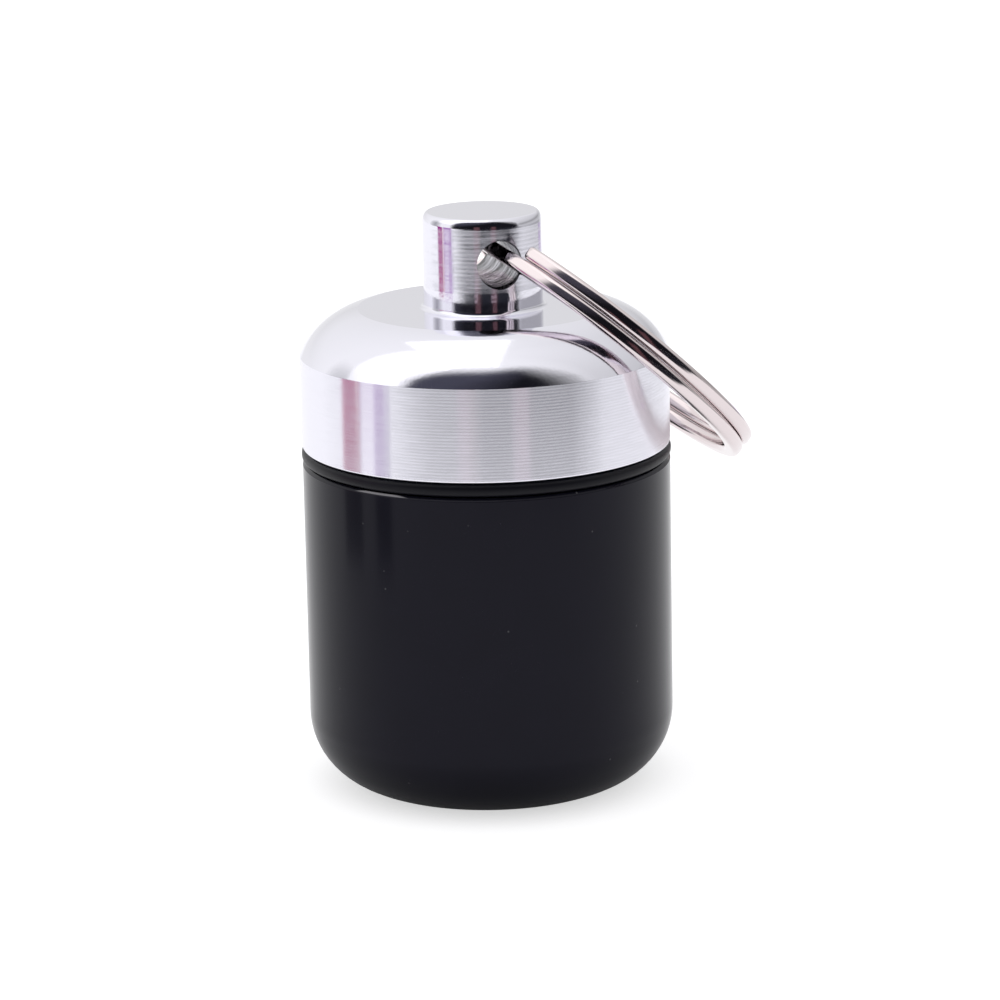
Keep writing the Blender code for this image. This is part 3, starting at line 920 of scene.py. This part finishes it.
def room_material():
    """Dark screen behind the camera, grey walls at the right and behind, and a curtain at the far left."""
    material, tree, cloth, mix = scrim_material("dark_room")
    bearing, height, _ = studio_bearings(tree)
    # All of it is palest towards the upper left
    lit = add_node(tree, "ShaderNodeMath", {1: -0.5}, {0: bearing, 2: height}, operation="MULTIPLY_ADD")
    glow = add_node(
        tree, "ShaderNodeMapRange", {"From Min": 33, "From Max": 58, "To Min": 0.3, "To Max": 2.2},
        {"Value": lit.outputs["Value"]})
    set_inputs(tree, cloth, {"Color": (*linear("#2f2f38"), 1)}, {"Strength": glow.outputs["Result"]})
    # The screen's outline
    centred = add_node(tree, "ShaderNodeMath", {1: -SCREEN_MIDDLE}, {0: bearing}, operation="ADD")
    left, right = (
        add_node(tree, "ShaderNodeMath", {1: scale}, {0: centred.outputs["Value"]}, operation="MULTIPLY")
        for scale in (-1 / SCREEN_LEFT, 1 / SCREEN_RIGHT))
    across = add_node(
        tree, "ShaderNodeMath", links={0: left.outputs["Value"], 1: right.outputs["Value"]},
        operation="MAXIMUM")
    tipped = add_node(
        tree, "ShaderNodeMath", {1: -SCREEN_TIP}, {0: bearing, 2: height}, operation="MULTIPLY_ADD")
    up = add_node(
        tree, "ShaderNodeMath", {1: 1 / SCREEN_TOP}, {0: tipped.outputs["Value"]}, operation="MULTIPLY")
    across_power, up_power = (
        add_node(
            tree, "ShaderNodeMath", {1: SCREEN_SQUARENESS}, {0: node.outputs["Value"]}, operation="POWER")
        for node in (across, up))
    oval = add_node(
        tree, "ShaderNodeMath", links={0: across_power.outputs["Value"], 1: up_power.outputs["Value"]},
        operation="ADD")
    screen = add_node(
        tree, "ShaderNodeMapRange",
        {"From Min": SCREEN_FADE[0], "From Max": SCREEN_FADE[1], "To Min": 1, "To Max": 0},
        {"Value": oval.outputs["Value"]}, interpolation_type="SMOOTHSTEP")
    # It grows thin towards its upper right
    slant = add_node(tree, "ShaderNodeMath", {1: 0.8}, {0: height, 2: bearing}, operation="MULTIPLY_ADD")
    thin = add_node(
        tree, "ShaderNodeMapRange", {"From Min": 73, "From Max": 121, "To Min": 1, "To Max": 0},
        {"Value": slant.outputs["Value"]}, interpolation_type="SMOOTHSTEP")
    thinned = add_node(
        tree, "ShaderNodeMath", links={0: screen.outputs["Result"], 1: thin.outputs["Result"]},
        operation="MULTIPLY")
    # The walls, darkest at the right and paler upwards
    wall = degree_ramp(
        tree, bearing, [(40, 0), (80, 1), (140, 1), (165, 0.6), (180, 0.4), (240, 0)])
    paler = degree_ramp(
        tree, height, [(0, 0.4), (7, 0.5), (11, 0.66), (22, 0.36), (87, 0)], first=0, last=90)
    walls = add_node(tree, "ShaderNodeMath", links={0: wall, 1: paler}, operation="MULTIPLY")
    # The curtain, which ends a third of the way up
    folds = degree_ramp(tree, bearing, [(-118, 0.03), (-110, 0.4), (-101, 0.65), (-92, 0.35), (-85, 0)])
    hem = add_node(
        tree, "ShaderNodeMapRange", {"From Min": 17, "From Max": 36, "To Min": 1, "To Max": 0},
        {"Value": height})
    hung = add_node(
        tree, "ShaderNodeMath", links={0: folds, 1: hem.outputs["Result"]}, operation="MULTIPLY")
    sides = add_node(
        tree, "ShaderNodeMath", links={0: walls.outputs["Value"], 1: hung.outputs["Value"]},
        operation="MAXIMUM")
    dark = add_node(
        tree, "ShaderNodeMath", links={0: thinned.outputs["Value"], 1: sides.outputs["Value"]},
        operation="MAXIMUM")
    set_inputs(tree, mix, links={"Fac": dark.outputs["Value"]})
    return material


def shade_sheet_material():
    """Dark sheet on the floor, painted shade that only reflections see: solid in front, thinner at the right
    and behind, clear near the object.
    """
    material, tree, cloth, mix = scrim_material("painted_floor_shade")
    bearing, _, reach = studio_bearings(tree)
    shade_density = degree_ramp(tree, bearing, [
        (-62, 0), (-52, 0.15), (-46, 0.42), (-40, 0.68), (-33, 0.88), (-14, 0.97), (-4, 1),
        (62, 1), (84, 0.5), (120, 0.6), (140, 0.6), (160, 0),
    ])
    # Its near edge, as shares of the most that it lies further off, at the left and at the right
    edge = degree_ramp(tree, bearing, [
        (-46, 0.7), (-38, 0.66), (-30, 0.5), (-12, 0.39), (0, 0.08), (42, 0.02), (52, 0), (66, 0.7), (80, 1),
    ])
    past = add_node(
        tree, "ShaderNodeMath", {1: -SHADE_SHEET_EDGE_SHIFT}, {0: edge, 2: reach}, operation="MULTIPLY_ADD")
    begun = add_node(
        tree, "ShaderNodeMapRange", {"From Min": SHADE_SHEET_EDGE[0], "From Max": SHADE_SHEET_EDGE[1]},
        {"Value": past.outputs["Value"]})
    dense = add_node(
        tree, "ShaderNodeMath", links={0: shade_density, 1: begun.outputs["Result"]}, operation="MULTIPLY")
    black, rose = linear("#24252c"), linear(CARD_COLOURS["rose"])
    stripes = degree_ramp(
        tree, bearing, [(-18, black), (-10, rose), (-2, black), (15, black), (22, rose), (29, black)])
    set_inputs(tree, cloth, links={"Color": stripes})
    set_inputs(tree, mix, links={"Fac": dense.outputs["Value"]})
    return material


def sheer_material():
    """Thin rose netting, which tints what is behind it."""
    material, tree, cloth, mix = scrim_material("rose_sheer")
    set_inputs(tree, cloth, {"Color": (*linear("#f9e1f1"), 1)})
    set_inputs(tree, mix, {"Fac": 0.5})
    return material


def glow_material(name, colour):
    """Card that shows its own colour in reflections, whatever light falls on it."""
    material, tree = unlit_material(name)
    glow = add_node(tree, "ShaderNodeEmission", {"Color": (*colour, 1), "Strength": 1.0})
    add_node(tree, "ShaderNodeOutputMaterial", links={"Surface": glow.outputs["Emission"]})
    return material


def curved_card(name, reach, bearings, levels, material):
    """Upright card bent round the object, between two bearings from the camera's side."""
    bm = bmesh.new()
    verts, edges = outline(bm, [(0, -reach, level) for level in levels])
    start, end = (math.radians(bearing) for bearing in bearings)
    rotate(bm, start + CAMERA_TURN, "Z")
    spin(bm, verts + edges, end - start, CARD_STEPS)
    reflected_only(finished(name, bm, [material]))


def disc(name, radius, level, material):
    """Round sheet that lies flat."""
    bm = bmesh.new()
    bmesh.ops.create_circle(bm, cap_ends=True, segments=STAGE_STEPS, radius=radius)
    bmesh.ops.translate(bm, verts=bm.verts, vec=(0, 0, level))
    return finished(name, bm, [material])


def room_and_shade_sheet():
    """Half dome round the table and a sheet of painted floor shade on it, which only reflections see."""
    bm = bmesh.new()
    bmesh.ops.create_uvsphere(bm, u_segments=STAGE_STEPS, v_segments=STAGE_STEPS // 2, radius=ROOM_RADIUS)
    bmesh.ops.bisect_plane(
        bm, geom=bm.verts[:] + bm.edges[:] + bm.faces[:], plane_co=ORIGIN, plane_no=(0, 0, 1),
        clear_inner=True)
    reflected_only(finished("room", bm, [room_material()]))
    shade_sheet = disc("shade_sheet", SHADE_SHEET_RADIUS, SHADE_SHEET_LIFT, shade_sheet_material())
    reflected_only(shade_sheet)
    shade_sheet.visible_shadow = False


def floor_material(studio):
    """Matt white board that the camera and reflections see as white, with the object's shadow kept and a
    painted shadow round the foot in reflections.
    """
    material, tree, shader = new_material("white_board")
    material.cycles.emission_sampling = "NONE"
    path = add_node(tree, "ShaderNodeLightPath")
    to_camera = add_node(
        tree, "ShaderNodeMath", {1: FLOOR_SEEN_GLOW}, {0: path.outputs["Is Camera Ray"]},
        operation="MULTIPLY")
    # Reflected white, fading out under the can's rounded foot as a painted shadow
    place = add_node(tree, "ShaderNodeTexCoord").outputs["Object"]
    reach = add_node(tree, "ShaderNodeVectorMath", links={0: place}, operation="LENGTH")
    clear = add_node(
        tree, "ShaderNodeMapRange",
        {"From Min": FLOOR_SHADOW_FADE[0], "From Max": FLOOR_SHADOW_FADE[1], "To Min": 0, "To Max": FLOOR_REFLECTED_GLOW},
        {"Value": reach.outputs["Value"]})
    strength = add_node(
        tree, "ShaderNodeMath",
        links={0: path.outputs["Is Glossy Ray"], 1: clear.outputs["Result"], 2: to_camera.outputs["Value"]},
        operation="MULTIPLY_ADD")
    board = {
        "Base Color": (*studio.floor, 1), "Roughness": 0.9, "Specular IOR Level": 0,
        "Emission Color": (1, 1, 1, 1),
    }
    set_inputs(tree, shader, board, {"Emission Strength": strength.outputs["Value"]})
    return material


def light_world(studio):
    """Plain white all round, which lights the object and is what the camera and the metal see."""
    world = bpy.data.worlds.new("studio")
    bpy.context.scene.world = world
    world.use_nodes = True
    background = world.node_tree.nodes["Background"]
    set_inputs(world.node_tree, background, {"Color": (1, 1, 1, 1), "Strength": studio.ambient})


def softbox(name, place, aim, size, power):
    """Rectangular lamp, placed and aimed from the camera's side and level with its long edge."""
    light = bpy.data.lights.new(name, "AREA")
    light.shape = "RECTANGLE"
    light.size, light.size_y = size
    light.energy = power
    lamp = bpy.data.objects.new(name, light)
    bpy.context.scene.collection.objects.link(lamp)
    facing = (Vector(aim) - Vector(place)).to_track_quat("-Z", "Y").to_matrix().to_4x4()
    lamp.matrix_world = Matrix.Rotation(CAMERA_TURN, 4, "Z") @ Matrix.Translation(place) @ facing


def make_camera():
    """Camera at the place, the angle and the focal length fitted to the photograph."""
    camera = bpy.data.cameras.new("photo_camera")
    camera.lens = CAMERA_LENS
    camera.sensor_width = SENSOR_WIDTH
    camera.clip_start = 10 * MM
    obj = bpy.data.objects.new("photo_camera", camera)
    bpy.context.scene.collection.objects.link(obj)
    turn = Matrix.Rotation(CAMERA_TURN, 4, "Z")
    tilt = Matrix.Rotation(math.pi / 2 - CAMERA_PITCH, 4, "X") @ Matrix.Rotation(CAMERA_ROLL, 4, "Z")
    place = Matrix.Translation(CAMERA_PLACE + Vector((0, 0, RIM_LEVEL)))
    obj.matrix_world = turn @ place @ tilt
    bpy.context.scene.camera = obj


class CANISTER_OT_studio(bpy.types.Operator):
    """Set up the floor, the light, the reflected cards and the camera"""

    bl_idname = "canister.studio"
    bl_label = "Studio"

    def execute(self, context):
        studio = context.scene.canister_studio
        disc("floor", FLOOR_RADIUS, CAN_LOW.z - FLOOR_DROP, floor_material(studio))
        light_world(studio)
        softbox(
            "overhead_softbox", place=(-0.07, 0.05, 0.55), aim=(-0.07, 0.05, 0), size=(0.26, 0.50),
            power=studio.overhead)
        softbox(
            "side_softbox", place=(-0.373, -0.073, 0.436), aim=(0, 0, 0.04), size=(0.38, 0.49),
            power=studio.side)
        room_and_shade_sheet()
        card = {
            name: glow_material(f"{name}_card", linear(colour)) for name, colour in CARD_COLOURS.items()}
        cards = (
            ("strip_foot", STRIP_REACH, ((-92.2, -77.6), (-67.5, -56.7)), CAN_SEES, card["dim"]),
            ("pink_strip", STRIP_REACH, ((-92.2, -77.6),), SKIRT_SEES, card["pink"]),
            ("lilac_strip", STRIP_REACH, ((-67.5, -56.7),), SKIRT_SEES, card["lilac"]),
            ("magenta_top", STRIP_REACH, ((-92.5, -79.9),), KNOB_SEES, card["magenta"]),
            ("purple_top", STRIP_REACH, ((-77.9, -59.6),), KNOB_SEES, card["purple"]),
            ("lilac_top", STRIP_REACH, ((136, 150),), (0.0248, 0.031), card["lilac"]),
            ("rose_sheer", SHEER_REACH, ((-16.8, -9.5), (15.1, 25.3)), (0.006, 0.0175), sheer_material()),
            ("rose_post", POST_REACH, ((-15, -5), (18, 26)), (0, 0.16), card["rose"]),
        )
        for name, reach, spans, levels, material in cards:
            for bearings in spans:
                curved_card(name, reach, bearings, levels, material)
        make_camera()
        context.scene.view_settings.view_transform = "Standard"
        return {"FINISHED"}


class CANISTER_PT_panel(bpy.types.Panel):
    """Lists the canister's pieces"""

    bl_idname = "CANISTER_PT_panel"
    bl_label = "Canister"
    bl_space_type = "VIEW_3D"
    bl_region_type = "UI"
    bl_category = "Canister"

    def draw(self, context):
        scene = context.scene
        for group in (scene.canister_sizes, scene.canister_colours, scene.canister_studio):
            for name in group.__annotations__:
                self.layout.prop(group, name)
        for operator in OPERATORS:
            self.layout.operator(operator.bl_idname)


OPERATORS = (CANISTER_OT_can, CANISTER_OT_seal, CANISTER_OT_cap, CANISTER_OT_split_ring, CANISTER_OT_studio)
CLASSES = (CanisterSizes, CanisterColours, CanisterStudio, *OPERATORS, CANISTER_PT_panel)


def register():
    for cls in CLASSES:
        bpy.utils.register_class(cls)
    bpy.types.Scene.canister_sizes = bpy.props.PointerProperty(type=CanisterSizes)
    bpy.types.Scene.canister_colours = bpy.props.PointerProperty(type=CanisterColours)
    bpy.types.Scene.canister_studio = bpy.props.PointerProperty(type=CanisterStudio)


def unregister():
    del bpy.types.Scene.canister_studio
    del bpy.types.Scene.canister_colours
    del bpy.types.Scene.canister_sizes
    for cls in reversed(CLASSES):
        bpy.utils.unregister_class(cls)


def main():
    register()
    bpy.ops.canister.can()
    bpy.ops.canister.seal()
    bpy.ops.canister.cap()
    bpy.ops.canister.split_ring()
    bpy.ops.canister.studio()


if __name__ == "__main__":
    main()
